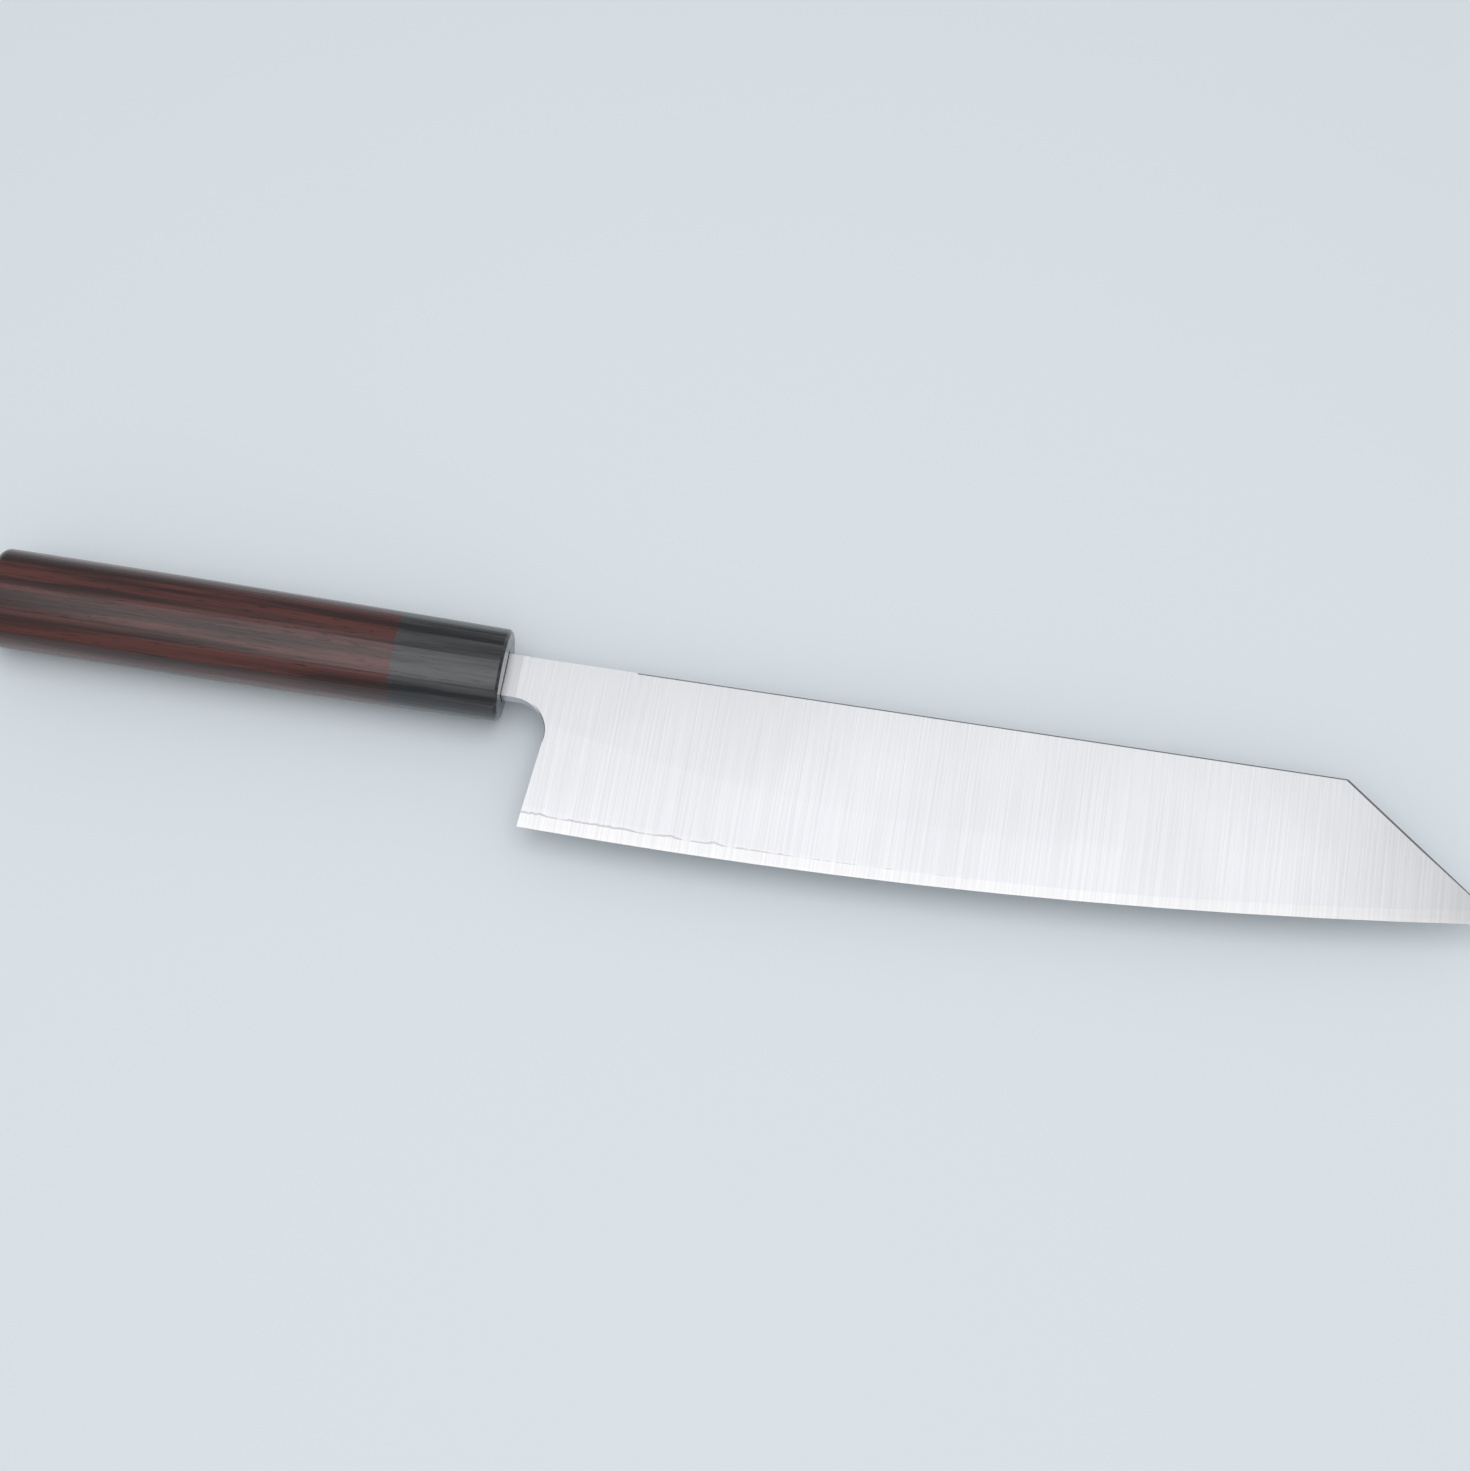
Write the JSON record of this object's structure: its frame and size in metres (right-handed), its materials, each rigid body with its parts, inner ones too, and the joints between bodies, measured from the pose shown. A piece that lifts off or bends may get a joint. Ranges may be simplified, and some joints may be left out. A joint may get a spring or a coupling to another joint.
{
  "type": "kiritsuke knife",
  "caption": "Kitchen knife with a slanted point, a laminated blade, an oval wooden handle and a dark ferrule, held by a hidden tang and dowel.",
  "frame": {"origin": "centre of the ferrule's front face, where the neck enters the handle", "axes": "+X along the knife to the tip, +Y to the spine (the edge faces -Y), +Z out of the front of the blade, so the knife lies on its side"},
  "size_m": [0.4298, 0.0582, 0.0218],
  "materials": {
    "core_steel": "bright hard steel, sharpened",
    "cladding_steel": "satin, brushed across the blade",
    "ferrule_wood": "polished black streaked wood",
    "handle_wood": "polished dark red-brown wood",
    "dowel_wood": "bare",
    "adhesive": "set adhesive"
  },
  "bodies": {
    "root": {"core_steel": "core_steel", "cladding_front": "cladding_steel", "cladding_back": "cladding_steel", "ferrule": "ferrule_wood", "handle_body": "handle_wood", "dowel": "dowel_wood", "tang_adhesive": "adhesive"}
  },
  "joints": []
}
